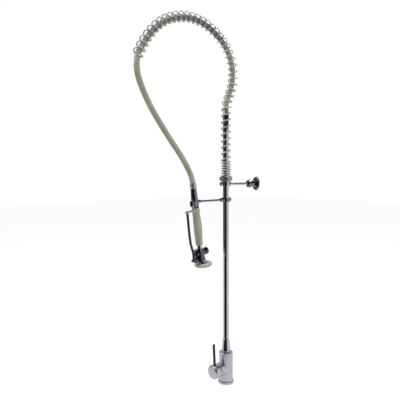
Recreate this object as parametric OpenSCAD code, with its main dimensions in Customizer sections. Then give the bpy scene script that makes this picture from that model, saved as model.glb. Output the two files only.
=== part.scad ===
// Deck-mounted pre-rinse faucet: single-lever mixer, tall riser, coiled support spring with a
// flexible hose inside it, wall stay, hook arm and a trigger spray gun hung in the hook.
// Millimetres, +Z up. The origin is the centre of the mixer's foot, on the deck. -Y is the user's side.

/* [Foot] */
// Outside diameter of the trim ring that stands on the deck
foot_d = 50; // [46:0.5:56]
// Height of the trim ring
foot_h = 8; // [6:0.5:12]
// Diameter of the body's spigot inside the trim ring
spigot_d = 30; // [28:0.5:34]
// Thickness of the gasket under the trim ring
gasket_t = 2; // [1:0.25:3]

/* [Mixer body] */
// Diameter of the upright mixer body
body_d = 44; // [40:0.5:48]
// Height of the body above the trim ring
body_h = 92; // [86:1:110]
// Height of the cartridge axis above the deck
cartridge_z = 48; // [44:0.5:52]
// Diameter of the side housing that holds the cartridge
housing_d = 42; // [41:0.5:44]
// Distance from the body's axis to the housing's front face
housing_len = 38; // [36:0.5:44]
// Radius of the cold and hot inlet threads (M10)
inlet_r = 4.5; // [4:0.1:5]
// Distance between the two inlets
inlet_spacing = 16; // [14:0.5:18]
// Tapping radius of the M8 fixing stud's thread
stud_r = 3.4; // [3:0.1:4]
// Distance of the fixing stud behind the inlets
stud_offset = 13; // [12:0.5:14]

/* [Cartridge and lever] */
// Diameter of the cartridge
cartridge_d = 34.4; // [33:0.2:35]
// Wall of the cartridge
cartridge_wall = 4.2; // [3:0.2:5]
// Distance from the body's axis to the point where the lever tilts
pivot_out = 30; // [29:0.5:31]
// Diameter of the lever cap
cap_d = 44; // [43:0.5:46]
// Distance from the body's axis to the cap's front
cap_front = 62; // [60:0.5:70]
// Angle of the slanted cut at the back of the cap
cap_cut_angle = 10.3; // [9:0.1:12]
// Radius of the cap's rounded front edge
cap_round = 6; // [3:0.5:8]
// Diameter of the pin lever
pin_d = 8; // [6:0.5:9]
// Length of the pin lever above the cap
pin_len = 66; // [50:1:90]
// Angle at which the pin lever leans forward
pin_lean = 3; // [0:0.5:6]
// Greatest forward tilt of the lever
tilt_max = 20; // [15:1:20]
// Diameter of the cartridge's stem
stem_d = 7; // [6:0.2:7.4]
// Thickness of each ceramic disc
disc_t = 3; // [2:0.25:3.5]

/* [Riser] */
// Outside diameter of the riser pipe
riser_d = 18; // [16:0.5:20]
// Wall of the riser pipe
riser_wall = 1.5; // [1:0.1:2]
// Height of the riser's top above the deck
riser_top = 850; // [800:5:850]
// Height of the tapered union nut
union_h = 42; // [30:1:60]
// Diameter of the union nut at its foot
union_d = 29; // [27:0.5:32]

/* [Spring] */
// Wire diameter of the support spring
wire_d = 4.2; // [3:0.1:4.4]
// Outside diameter of the spring
spring_d = 32; // [31.5:0.25:33]
// Pitch of the close turns above the collar
close_pitch = 7.8; // [7.4:0.1:9]
// Number of close turns
close_turns = 6.5; // [4:0.5:8]
// Pitch of the open turns
open_pitch = 19.4; // [18.8:0.1:22]
// Height of the collar's top above the deck
collar_top = 659; // [655:1:670]
// Outside diameter of the collar that seats the spring
collar_d = 40; // [38:0.5:44]
// Height of the collar's straight wall
collar_wall_h = 11; // [9:0.5:14]
// Depth of the cup that the spring stands in
collar_cup = 8; // [6:0.5:9]

/* [Hose] */
// Outside diameter of the hose
hose_d = 16; // [14:0.5:16]
// Outside diameter of the crimped sleeves at the hose's ends
sleeve_d = 19; // [18.4:0.2:20]
// Length of each crimped sleeve
sleeve_len = 15; // [12:1:20]

/* [Wall stay] */
// Height of the wall stay above the deck
stay_z = 636; // [634:0.5:636]
// Height of each clamp band
band_h = 13; // [11:0.5:13]
// Outside diameter of each clamp band
band_d = 26; // [24:0.5:30]
// Wall of the plastic liner inside the stay's clamp
liner_wall = 1.2; // [1:0.1:1.6]
// Angle from straight back at which the stay is set
stay_angle = 20; // [0:1:45]
// Diameter of the stay rod
stay_rod_d = 8; // [7:0.5:10]
// Distance from the riser's axis to the wall
wall_reach = 108; // [100:1:160]
// Diameter of the wall flange
flange_d = 44; // [42:0.5:60]
// Thickness of the wall flange
flange_t = 6; // [5:0.5:8]
// Diameter of the circle on which the flange's three screw holes lie
flange_pcd = 35; // [34.5:0.5:36]
// Radius of the flange's screw holes
flange_hole_r = 2.25; // [2:0.05:2.5]
// Largest outside diameter of the clamping nut on the wall flange
stay_nut_d = 26; // [24:0.5:27]

/* [Hook arm] */
// Height of the hook arm above the deck
hook_z = 587; // [585:0.5:589]
// Distance from the riser's axis to the gun's axis in the fork
hook_reach = 129; // [127:0.5:131]
// Diameter of the hook arm
hook_rod_d = 6; // [5:0.5:7]
// Height of the fork along the gun
fork_h = 17; // [15:0.5:17]
// Wall of the fork
fork_wall = 3.75; // [3:0.25:4.5]
// Length of the fork's prongs in front of the gun's axis
prong_len = 11; // [9:0.5:14]

/* [Spray gun] */
// Lean of the hanging gun, its top towards the user
gun_lean = 7.5; // [7:0.25:8]
// Diameter of the gun's neck in the fork
neck_d = 15; // [14:0.5:15]
// Bore of the gun's water way
water_d = 9; // [8:0.5:10]
// Length of the swivel nut
swivel_len = 37.5; // [30:0.5:44]
// Diameter of the swivel nut at its lower shoulder
swivel_d = 20.5; // [20:0.25:22]
// Length of the handle grip
grip_len = 113; // [110:1:120]
// Width of the handle grip
grip_w = 23.5; // [22:0.5:26]
// How far the grip's palm swell stands out at the back
palm_swell = 3; // [0:0.5:4]
// Diameter of the tube inside the grip
grip_tube_d = 16; // [14:0.5:16]
// Length of bare tube between the grip and the valve body
tube_gap = 12; // [8:0.5:16]
// Diameter of the valve body
valve_d = 30; // [28:0.5:32]
// Height of the valve body
valve_h = 36; // [34:0.5:40]
// Diameter of the valve's back cap
back_cap_d = 22; // [20:0.5:24]
// Length of the back cap behind the barrel
back_cap_len = 12; // [8:0.5:16]
// Diameter of the valve plunger
plunger_d = 6; // [5:0.2:7]
// Travel of the valve plunger
plunger_travel = 1.75; // [1.4:0.05:1.8]
// Diameter of the spray neck
spray_neck_d = 18; // [16:0.5:20]
// Outside diameter of the rubber bumper ring
bumper_d = 54.5; // [50:0.5:60]
// Thickness of the bumper ring
bumper_t = 11; // [9:0.5:14]

/* [Trigger] */
// Diameter of the trigger's bar
trigger_d = 7.5; // [6:0.25:7.75]
// Distance from the gun's axis to the trigger's grip
trigger_out = 33; // [32:0.5:35]
// Distance from the grip's top down to the bail and the trigger's end
bail_drop = 8; // [6:0.5:12]
// Diameter of the knob at the trigger's end
knob_d = 10; // [8:0.5:11]
// Diameter of the trigger's pivot pin
trigger_pin_d = 4; // [3:0.25:5]
// Wire diameter of the bail that holds the trigger
bail_wire_d = 2; // [1.6:0.1:2.4]

/* [Fits] */
// Radial clearance of parts that turn or slide in each other
running = 0.05; // [0.02:0.01:0.08]
// Radial clearance of screwed and pushed-in parts
seat = 0.1; // [0.05:0.01:0.2]
// Gap between pieces that move past each other
gap = 0.3; // [0.2:0.05:0.4]

/* [Hidden] */
$fn = 64;
small_fn = 32;
overshoot = 1;

// Mixer body
body_top = foot_h + body_h;
body_edge = 1.5;
inlet_y = 4;
outlet_r = 4.5;
cavity_back = 4;
riser_r = riser_d / 2;
riser_bore_r = riser_r - riser_wall;
socket_r = 12.1;
socket_depth = 14;
seal_t = 2;
riser_foot = body_top - socket_depth + seal_t;
riser_flange_r = 11.5;
riser_flange_t = 3;

// Cartridge, measured outwards from the body's axis
cartridge_r = cartridge_d / 2;
cartridge_bore_r = cartridge_r - cartridge_wall;
cavity_r = cartridge_r + 0.3;
base_seal_t = 1.5;
cartridge_back = cavity_back + base_seal_t;
cartridge_front = pivot_out;
cartridge_floor = cartridge_back + 2.5;
disc_gap = 0.1;
fixed_disc_z = cartridge_floor + disc_gap;
moving_disc_z = fixed_disc_z + disc_t + disc_gap;
drive_arm = 12;
drive_ball_r = 3;
carrier_top = pivot_out - drive_arm + drive_ball_r - 1;
disc_slide = drive_arm * sin(tilt_max);
moving_disc_r = cartridge_bore_r - disc_slide - gap;
port_r = 2.4;
port_out = 6.2;
stem_r = stem_d / 2;
stem_neck_r = 2;
stem_pin_r = 1.5;
stem_pin_len = 16;
dome_wall = 3.4;
dome_step = housing_len - pivot_out;
dome_base_r = housing_d / 2 - 1.7;
dome_r = sqrt(dome_base_r * dome_base_r + dome_step * dome_step);
dome_mouth_r = 11;
cap_cavity_r = dome_r + 0.4;
cap_r = cap_d / 2;
cap_back = housing_len + 2;
cap_screw_r = 2.1;
cap_screw_len = 10;
cap_crown = 1.2;
pin_out = cap_back + 9.5;
pin_r = pin_d / 2;
pin_floor = pin_out - pivot_out - pin_r;
pin_seat = sqrt(cap_cavity_r * cap_cavity_r - pin_floor * pin_floor) + 0.4;
housing_screw_r = 1.6;
housing_screw_z = cartridge_front + 2;

// Spring collar and clamps
collar_r = collar_d / 2;
collar_bottom = collar_top - collar_wall_h - 4.5;
collar_floor = collar_top - collar_cup;
wire_r = wire_d / 2;
coil_r = spring_d / 2 - wire_r;
band_r = band_d / 2;
liner_r = riser_r + running + liner_wall;
screw_r = 2.5;
screw_head_r = 6.5;
screw_head_len = 5;
boss_len = 5;
stay_rod_r = stay_rod_d / 2;
stay_rod_start = band_r + 0.5;
stay_nut_len = 12;
hub_len = 14;
hub_r = stay_rod_r + 4.5;
flange_face = wall_reach - flange_t;
hook_rod_r = hook_rod_d / 2;
hook_boss_len = 14;

// Gun: its own frame has +Z up the gun, -Y to the trigger, and its origin at the fork
gun_y = -hook_reach;
gun_z = hook_z - 7;
fork_top = fork_h / 2 + 0.5;
fork_bottom = fork_top - fork_h;
neck_r = neck_d / 2;
fork_slot_r = neck_r + 0.25;
fork_r = fork_slot_r + fork_wall;
water_r = water_d / 2;
shoulder_z = fork_top + gap;
hose_end_z = shoulder_z + swivel_len;
swivel_top_r = 8.6;
swivel_seat_len = 15;
hose_r = hose_d / 2;
sleeve_r = sleeve_d / 2;
sleeve_flare = 0.5;
sleeve_mouth = 4;
grip_top = fork_bottom - 4;
grip_bottom = grip_top - grip_len;
grip_tube_r = grip_tube_d / 2;
valve_top = grip_bottom - tube_gap;
valve_bottom = valve_top - valve_h;
valve_y = -3;
valve_r = valve_d / 2;
barrel_r = 11;
barrel_z = valve_top - barrel_r;
barrel_front = -20;
barrel_back = 16;
chamber_r = 7.5;
seat_y = 3;
plunger_r = plunger_d / 2;
plunger_head_t = 3;
seal_len = 2;
chamber_front = seat_y - plunger_head_t - seal_len - seat;
gallery_r = plunger_r + 1.4;
gallery_front = -10;
outlet_y = -5;
spray_top = barrel_z - barrel_r - 6.5;
back_cap_r = back_cap_d / 2;
back_cap_seat = 7;
plunger_head_r = 6;
spray_y = 8;
spray_neck_r = spray_neck_d / 2;
spray_bottom = valve_bottom - 8;
bumper_r = bumper_d / 2;
bumper_hole_r = spray_neck_r + gap;
bumper_bottom = spray_bottom - bumper_t;
bumper_lip = 4;
spray_cup_r = 20.8;
spray_plate_t = 4;
jet_r = 0.9;

// Trigger and bail
trigger_r = trigger_d / 2;
pivot_y = -27;
pivot_z = barrel_z - 20;
trigger_pin_r = trigger_pin_d / 2;
trigger_eye_r = 5;
trigger_eye_w = 8;
ear_t = 3;
ear_r = 5;
trigger_angle = atan(plunger_travel / (barrel_z - pivot_z));
trigger_tip_z = grip_top - bail_drop;
elbow_rise = 34;
knob_r = knob_d / 2;
knob_flat = sqrt(knob_r * knob_r - trigger_r * trigger_r) - 0.2;
bail_wire_r = bail_wire_d / 2;
bail_z = trigger_tip_z;
bail_y = -grip_w / 2 - 3.5;
bail_half_w = knob_r + bail_wire_r + 1.2;
bail_reach = trigger_out + bail_y + knob_r + bail_wire_r + 2.3;
bail_ring_h = 5;
bail_ring_t = 1.6;
bail_eye_r = bail_ring_h / 2;
lug_t = 2;
lug_x = bail_half_w + bail_wire_r + gap;

// Spring and hose routes, as [y, z] in the plane x = 0: the hose leaves the riser, joins the
// spring's arch and hangs free to the gun
hose_start = riser_top + 3;
arch = [[30.2, 951], [33, 978], [28.5, 1008], [14, 1040], [-6, 1064], [-32, 1084], [-64, 1101], [-98, 1112],
    [-135, 1116], [-172, 1112], [-210, 1101], [-245, 1083], [-272, 1060], [-293, 1036], [-311, 1009],
    [-324.6, 984.5], [-329.6, 956]];
hang = [[-325.4, 927], [-314, 899], [-299, 871], [-281, 843], [-260, 815], [-238, 787], [-213.2, 757],
    [-188.8, 729], [-166.6, 700], [-148.7, 672], [-142, 657]];
gun_end = gun_point([0, 0, hose_end_z]);
gun_line = gun_point([0, 0, hose_end_z + sleeve_len]);
gun_mid = (gun_line + gun_end) / 2;
hose_lead = [[0, hose_start], [0, hose_start + sleeve_len / 2], [0, hose_start + sleeve_len], [1.3, 879],
    [5.8, 894], [12.8, 910], [21.3, 928]];
hose_route = concat(hose_lead, arch, hang, [for (p = [gun_line, gun_mid, gun_end]) [p[1], p[2]]]);
split_point = len(hose_lead) + len(arch) - 1;
coil_straight = 800;
spring_route = concat([[0, collar_floor], [0, (collar_floor + coil_straight) / 2], [0, coil_straight],
    [0.5, 836], [1.2, 861], [3.2, 879], [8.6, 895], [15, 910], [22.6, 928]],
    [for (i = [0 : len(arch) - 2]) arch[i]], [[-328, 971]]);
hose_offset_max = coil_r - wire_r - hose_r - 1.2;
hose_ring_step = 1.6 * hose_d;
hose_sides = 12;
wire_sides = 6;
rings_per_turn = 8;

function gun_point(p) = [p[0],
    gun_y + p[1] * cos(gun_lean) - p[2] * sin(gun_lean),
    gun_z + p[1] * sin(gun_lean) + p[2] * cos(gun_lean)];

// A smooth curve through a route's points, as a table of [length, y, z]
function spline(p, i, t) =
    let (a = p[max(i - 1, 0)], b = p[i], c = p[i + 1], d = p[min(i + 2, len(p) - 1)])
    (2 * b + (c - a) * t + (2 * a - 5 * b + 4 * c - d) * t * t + (3 * b - a - 3 * c + d) * t * t * t) / 2;
spline_steps = 6;
function dense(p, n = spline_steps) =
    concat([for (i = [0 : len(p) - 2], k = [0 : n - 1]) spline(p, i, k / n)], [p[len(p) - 1]]);
function lengths(q) =
    [for (i = 0, s = 0; i < len(q); s = s + (i + 1 < len(q) ? norm(q[i + 1] - q[i]) : 0), i = i + 1) s];
function path_table(p) = let (q = dense(p), s = lengths(q)) [for (i = [0 : len(q) - 1]) [s[i], q[i]]];
function path_len(tab) = tab[len(tab) - 1][0];
function path_y(tab) = [for (r = tab) [r[0], r[1][0]]];
function path_z(tab) = [for (r = tab) [r[0], r[1][1]]];
function path_at(ys, zs, s) = [0, lookup(s, ys), lookup(s, zs)];
function unit(v) = v / norm(v);

// A tube's skin: rings of points joined by triangles, with a flat fan at each end
function ring(c, u, v, r, n) = [for (k = [0 : n - 1]) c + r * (cos(360 * k / n) * u + sin(360 * k / n) * v)];
function tube_faces(rings, n) = concat(
    [for (i = [0 : rings - 2], k = [0 : n - 1]) [i * n + k, i * n + (k + 1) % n, (i + 1) * n + k]],
    [for (i = [0 : rings - 2], k = [0 : n - 1])
        [i * n + (k + 1) % n, (i + 1) * n + (k + 1) % n, (i + 1) * n + k]],
    [for (k = [1 : n - 2]) [0, k + 1, k]],
    [for (k = [1 : n - 2]) [(rings - 1) * n, (rings - 1) * n + k, (rings - 1) * n + k + 1]]);

// Hose: rings square to the route, shifted to the inner side of the arch where the coil holds it
hose_tab = path_table(hose_route);
hose_ys = path_y(hose_tab);
hose_zs = path_z(hose_tab);
hose_len = path_len(hose_tab);
hose_split = hose_tab[split_point * spline_steps][0];
offset_start = 75;
offset_full = 105;
offset_ease = 130;
offset_end = 20;
offset_ramp = [[0, 0], [offset_start, 0], [offset_full, 1], [hose_split - offset_ease, 1],
    [hose_split - offset_end, 0], [hose_len, 0]];

function hose_along(s) = unit(path_at(hose_ys, hose_zs, min(s + 0.5, hose_len))
    - path_at(hose_ys, hose_zs, max(s - 0.5, 0)));
function hose_ring(s) =
    let (t = hose_along(s), v = cross(t, [1, 0, 0]),
        c = path_at(hose_ys, hose_zs, s) - v * hose_offset_max * lookup(s, offset_ramp))
    ring(c, [1, 0, 0], v, hose_r, hose_sides);
module hose_tube(from, to) {
    first = from + (from == 0 ? sleeve_len : 0);
    last = to - (to == hose_len ? sleeve_len : 0);
    count = round((last - first) / hose_ring_step);
    stops = [for (i = [0 : count]) first + (last - first) * i / count];
    rings = [for (s = concat(from == first ? [] : [from], stops, to == last ? [] : [to])) hose_ring(s)];
    polyhedron([for (r = rings) for (p = r) p], tube_faces(len(rings), hose_sides), convexity = 6);
}

// Support spring: one wire wound round the route, close turns first
spring_tab = path_table(spring_route);
spring_ys = path_y(spring_tab);
spring_zs = path_z(spring_tab);
spring_len = path_len(spring_tab);
coil_start = wire_d + wire_r;
close_len = close_pitch * close_turns;
open_turns = floor(2 * (spring_len - coil_start - close_len) / open_pitch) / 2;
turn_table = [[0, coil_start], [close_turns, coil_start + close_len],
    [close_turns + open_turns, coil_start + close_len + open_turns * open_pitch]];
turns = close_turns + open_turns;
coil_hand = -1;
coil_phase = 90;

function wire_centre(turn) =
    let (s = lookup(turn, turn_table),
        t = unit(path_at(spring_ys, spring_zs, s + 0.5) - path_at(spring_ys, spring_zs, s - 0.5)),
        n = cross(t, [1, 0, 0]),
        a = coil_phase + coil_hand * 360 * turn)
    path_at(spring_ys, spring_zs, s) + coil_r * (cos(a) * n + sin(a) * [1, 0, 0]);
function wire_out(turn) =
    let (s = lookup(turn, turn_table)) unit(wire_centre(turn) - path_at(spring_ys, spring_zs, s));
function wire_along(turn) = unit(wire_centre(turn + 0.01) - wire_centre(turn - 0.01));

wire_turns = [for (i = [0 : round(turns * rings_per_turn)]) i / rings_per_turn];
wire_line = [for (w = wire_turns) wire_centre(w)];
first_out = wire_out(0.001);
first_foot = [wire_line[0][0], wire_line[0][1], collar_floor];
last_turn = wire_turns[len(wire_turns) - 1] - 0.02;
last_along = wire_along(last_turn);
wire_rings = concat(
    [ring(first_foot, first_out, cross([0, 0, 1], first_out), wire_r, wire_sides)],
    [ring(first_foot + [0, 0, wire_d], first_out, cross([0, 0, 1], first_out), wire_r, wire_sides)],
    [for (i = [1 : len(wire_line) - 2])
        let (w = wire_turns[i]) ring(wire_line[i], wire_out(w), cross(wire_along(w), wire_out(w)), wire_r,
            wire_sides)],
    [for (e = [0, 1]) ring(wire_line[len(wire_line) - 1] + e * wire_d * last_along, wire_out(last_turn),
        cross(last_along, wire_out(last_turn)), wire_r, wire_sides)]);
wire_gap = min([for (i = [0 : len(wire_line) - 1], j = [i + rings_per_turn / 2 : min(i + 3 * rings_per_turn,
    len(wire_line) - 1)]) norm(wire_line[i] - wire_line[j])]) - wire_d;
echo(wire_gap = wire_gap, turns = turns, wire_triangles = 2 * wire_sides * len(wire_rings),
    spring_length = spring_len, held_hose = hose_split, free_hose = hose_len - hose_split);

// Frames that the pieces are drawn in
module at_cartridge() { translate([0, 0, cartridge_z]) rotate([90, 0, 0]) children(); }
module at_pivot() { at_cartridge() translate([0, 0, pivot_out]) children(); }
module at_stay() { translate([0, 0, stay_z]) rotate([0, 0, -stay_angle]) rotate([-90, 0, 0]) children(); }
module at_hook() { translate([0, 0, hook_z]) rotate([90, 0, 0]) children(); }
module at_gun() { translate([0, gun_y, gun_z]) rotate([gun_lean, 0, 0]) children(); }
module at_barrel() { at_gun() translate([0, 0, barrel_z]) rotate([-90, 0, 0]) children(); }

// Shapes used more than once
module pipe(r_out, r_in, z0, z1) {
    difference() {
        translate([0, 0, z0]) cylinder(r = r_out, h = z1 - z0);
        translate([0, 0, z0 - overshoot]) cylinder(r = r_in, h = z1 - z0 + 2 * overshoot);
    }
}
module lathe(points) { rotate_extrude() polygon(points); }
module rounded_bar(r, z0, z1, edge) {
    lathe([[0, z0], [r - edge, z0], [r, z0 + edge], [r, z1 - edge], [r - edge, z1], [0, z1]]);
}
module grub(r, length) {
    difference() {
        cylinder(r = r, h = length, $fn = small_fn);
        translate([0, 0, length - 2]) cylinder(r = r * 0.55, h = 2 + overshoot, $fn = 6);
    }
}
module thumb_screw(shank_len) {
    translate([0, 0, -shank_len]) cylinder(r = screw_r, h = shank_len + overshoot, $fn = small_fn);
    rounded_bar(screw_head_r, 0, screw_head_len, 1);
}

// Foot
module foot_ring() {
    color("silver") difference() {
        lathe([[spigot_d / 2 + seat, 0], [foot_d / 2, 0], [foot_d / 2, foot_h - 2],
            [foot_d / 2 - 2, foot_h], [spigot_d / 2 + seat, foot_h]]);
        translate([0, 0, -overshoot]) cylinder(r = foot_d / 2 - 4, h = gasket_t + overshoot);
    }
}
module foot_gasket() {
    color("dimgray") pipe(foot_d / 2 - 4 - seat, spigot_d / 2 + seat, 0, gasket_t);
}

// Mixer body, with its water ways, cartridge cavity and riser socket
module mixer_body() {
    color("gainsboro") difference() {
        union() {
            lathe([[0, 0], [spigot_d / 2, 0], [spigot_d / 2, foot_h], [body_d / 2, foot_h],
                [body_d / 2, body_top - body_edge], [body_d / 2 - body_edge, body_top], [0, body_top]]);
            at_cartridge() lathe([[0, 0], [housing_d / 2, 0], [housing_d / 2, housing_len - 1],
                [housing_d / 2 - 1, housing_len], [0, housing_len]]);
        }
        at_cartridge() translate([0, 0, cavity_back])
            cylinder(r = cavity_r, h = housing_len - cavity_back + overshoot);
        for (side = [-1, 1]) {
            translate([side * inlet_spacing / 2, inlet_y, -overshoot])
                cylinder(r = inlet_r, h = cartridge_z + overshoot, $fn = small_fn);
            at_cartridge() translate([side * port_out * cos(30), -port_out / 2, -inlet_y])
                cylinder(r = port_r, h = inlet_y + cavity_back + overshoot, $fn = small_fn);
        }
        translate([0, inlet_y - stud_offset, -overshoot])
            cylinder(r = stud_r, h = foot_h + 4 + overshoot, $fn = small_fn);
        translate([0, inlet_y - 1, cartridge_z + 4])
            cylinder(r = outlet_r, h = body_top - cartridge_z - 4, $fn = small_fn);
        at_cartridge() translate([0, port_out, 1 - inlet_y])
            cylinder(r = port_r, h = cavity_back + inlet_y, $fn = small_fn);
        translate([0, 0, body_top - socket_depth])
            cylinder(r = socket_r, h = socket_depth + overshoot);
        at_cartridge() translate([0, 0, housing_screw_z]) rotate([0, 90, 0])
            cylinder(r = housing_screw_r + seat, h = body_d, $fn = small_fn);
    }
}

// Cartridge
module cartridge_ports(height) {
    for (a = [90, 210, 330])
        rotate([0, 0, a]) translate([port_out, 0, -overshoot])
            cylinder(r = port_r, h = height + 2 * overshoot, $fn = small_fn);
}
module cartridge_seals() {
    color("black") at_cartridge() for (a = [90, 210, 330])
        rotate([0, 0, a]) translate([port_out, 0, 0])
            pipe(port_r + 1.6, port_r + 0.2, cavity_back, cartridge_back, $fn = small_fn);
}
module cartridge_shell() {
    color("darkslategray") at_cartridge() difference() {
        translate([0, 0, cartridge_back])
            cylinder(r = cartridge_r, h = cartridge_front - cartridge_back);
        translate([0, 0, cartridge_floor])
            cylinder(r = cartridge_bore_r, h = cartridge_front);
        translate([0, 0, cartridge_back]) cartridge_ports(cartridge_floor - cartridge_back);
    }
}
module fixed_disc() {
    color("white") at_cartridge() translate([0, 0, fixed_disc_z]) difference() {
        cylinder(r = cartridge_bore_r - seat, h = disc_t);
        cartridge_ports(disc_t);
    }
}
module moving_disc() {
    color("ivory") at_cartridge() difference() {
        translate([0, 0, moving_disc_z])
            cylinder(r = moving_disc_r, h = carrier_top - moving_disc_z);
        translate([0, 0, moving_disc_z - overshoot]) cylinder(r = 4.5, h = disc_t - 1 + overshoot);
        translate([0, 0, pivot_out - drive_arm - drive_ball_r - gap])
            cylinder(r = drive_ball_r + 0.15, h = drive_arm, $fn = small_fn);
    }
}
module mix_collar() {
    color("dimgray") at_cartridge() difference() {
        union() {
            translate([0, 0, carrier_top + gap])
                cylinder(r = cartridge_bore_r - running, h = cartridge_front - carrier_top - gap);
            translate([0, 0, cartridge_front - overshoot]) cylinder(r = 10, h = 5 + overshoot);
        }
        translate([-stem_r - 0.1, -7.5, carrier_top])
            cube([stem_d + 0.2, 15, cartridge_front]);
        translate([0, 0, pivot_out]) rotate([0, 90, 0])
            cylinder(r = stem_pin_r + running, h = 2 * cartridge_r, center = true, $fn = small_fn);
    }
}
module stem() {
    color("goldenrod") at_pivot() difference() {
        union() {
            translate([0, 0, -drive_arm]) sphere(r = drive_ball_r, $fn = small_fn);
            translate([0, 0, -drive_arm]) cylinder(r = stem_neck_r, h = drive_arm - 5, $fn = small_fn);
            translate([0, 0, -6]) cylinder(r = stem_r, h = cap_front - 3 - pivot_out + 6, $fn = small_fn);
        }
        rotate([0, 90, 0])
            cylinder(r = stem_pin_r + 0.02, h = stem_d * 2, center = true, $fn = small_fn);
    }
}
module stem_pin() {
    color("lightgray") at_pivot() rotate([0, 90, 0])
        cylinder(r = stem_pin_r, h = stem_pin_len, center = true, $fn = small_fn);
}
module cartridge_nut() {
    mouth_z = sqrt(dome_r * dome_r - dome_mouth_r * dome_mouth_r);
    inner_r = dome_r - dome_wall;
    color("lightgray") at_pivot() difference() {
        union() {
            intersection() {
                sphere(r = dome_r, $fn = 96);
                translate([0, 0, dome_step]) cylinder(r = dome_r, h = mouth_z - dome_step);
            }
            translate([0, 0, gap]) cylinder(r = cavity_r - 0.2, h = dome_step);
        }
        sphere(r = inner_r, $fn = 96);
        translate([0, 0, -overshoot]) cylinder(r = cartridge_bore_r + 1.5, h = dome_step);
        cylinder(r = dome_mouth_r, h = dome_r);
        translate([0, 0, housing_screw_z - pivot_out]) rotate([0, 90, 0])
            cylinder(r = housing_screw_r + seat, h = body_d, $fn = small_fn);
    }
}
module housing_screw() {
    color("black") at_cartridge() translate([cavity_r - 1.5, 0, housing_screw_z]) rotate([0, 90, 0])
        grub(housing_screw_r, housing_d / 2 - cavity_r + 0.9);
}

// Lever: a cap that tilts over the dome nut, with a pin standing in its rim
module lever_cap() {
    color("gainsboro") at_cartridge() difference() {
        lathe(concat([[0, cap_back - 2], [cap_r, cap_back - 2]],
            [for (a = [0 : 10 : 90]) [cap_r - cap_round + cap_round * cos(a),
                cap_front - cap_round + cap_round * sin(a)]],
            [[(cap_r - cap_round) / 2, cap_front + cap_crown * 0.75], [0, cap_front + cap_crown]]));
        translate([0, 0, pivot_out]) sphere(r = cap_cavity_r, $fn = 96);
        translate([0, cap_r, cap_back]) rotate([-cap_cut_angle, 0, 0])
            translate([-cap_d, -2 * cap_d, -cap_d]) cube([2 * cap_d, 3 * cap_d, cap_d]);
        translate([0, 0, pivot_out]) cylinder(r = stem_r + running, h = cap_front - 2.8 - pivot_out);
        translate([0, 0, pin_out]) rotate([pin_lean - 90, 0, 0])
            translate([0, 0, pin_seat - 0.5]) cylinder(r = pin_r + running, h = cap_r);
        translate([0, 0, cap_front - 6.5]) rotate([90, 0, 0])
            cylinder(r = cap_screw_r + seat, h = cap_d, $fn = small_fn);
    }
}
module pin_lever() {
    color("dimgray") at_cartridge() translate([0, 0, pin_out]) rotate([pin_lean - 90, 0, 0])
        rounded_bar(pin_r, pin_seat, cap_r + pin_len, 0.8);
}
module cap_screw() {
    color("black") at_cartridge() translate([0, -stem_r - 0.05, cap_front - 6.5]) rotate([90, 0, 0])
        grub(cap_screw_r, cap_screw_len);
}

// Riser and its union
module union_seal() {
    color("black") pipe(socket_r - seat, riser_bore_r - 1, body_top - socket_depth, riser_foot);
}
module riser_pipe() {
    color("silver") difference() {
        union() {
            translate([0, 0, riser_foot]) cylinder(r = riser_r, h = riser_top - riser_foot);
            translate([0, 0, riser_foot]) cylinder(r = riser_flange_r, h = riser_flange_t);
        }
        translate([0, 0, riser_foot - overshoot])
            cylinder(r = riser_bore_r, h = riser_top - riser_foot + 2 * overshoot);
    }
}
module union_nut() {
    top = body_top + union_h;
    hole = riser_r + seat;
    color("silver") lathe([[hole, riser_foot + riser_flange_t + 0.2],
        [socket_r - seat, riser_foot + riser_flange_t + 0.2], [socket_r - seat, body_top],
        [union_d / 2 - 0.8, body_top], [union_d / 2, body_top + 0.8], [union_d / 2, body_top + 4],
        [union_d / 2 - 1.6, body_top + union_h * 0.4], [hole + 2.1, top - union_h * 0.15],
        [hole + 1.1, top - 1], [hole + 0.5, top], [hole, top]]);
}

// Collar and spring
module spring_collar() {
    color("darkgray") difference() {
        lathe([[riser_r + seat, collar_bottom], [riser_r + 4, collar_bottom],
            [collar_r, collar_top - collar_wall_h], [collar_r, collar_top - 1],
            [collar_r - 1, collar_top], [riser_r + seat, collar_top]]);
        translate([0, 0, collar_floor]) cylinder(r = spring_d / 2 + 0.6, h = collar_cup + overshoot);
        translate([0, 0, collar_floor - 4]) rotate([-90, 0, 0])
            cylinder(r = cap_screw_r + seat, h = collar_d, $fn = small_fn);
    }
}
module collar_screw() {
    color("black") translate([0, riser_r + 0.1, collar_floor - 4]) rotate([-90, 0, 0])
        grub(cap_screw_r, collar_r - riser_r - 2.5);
}
module spring() {
    color("silver")
        polyhedron([for (r = wire_rings) for (p = r) p], tube_faces(len(wire_rings), wire_sides),
            convexity = 12);
}

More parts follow.
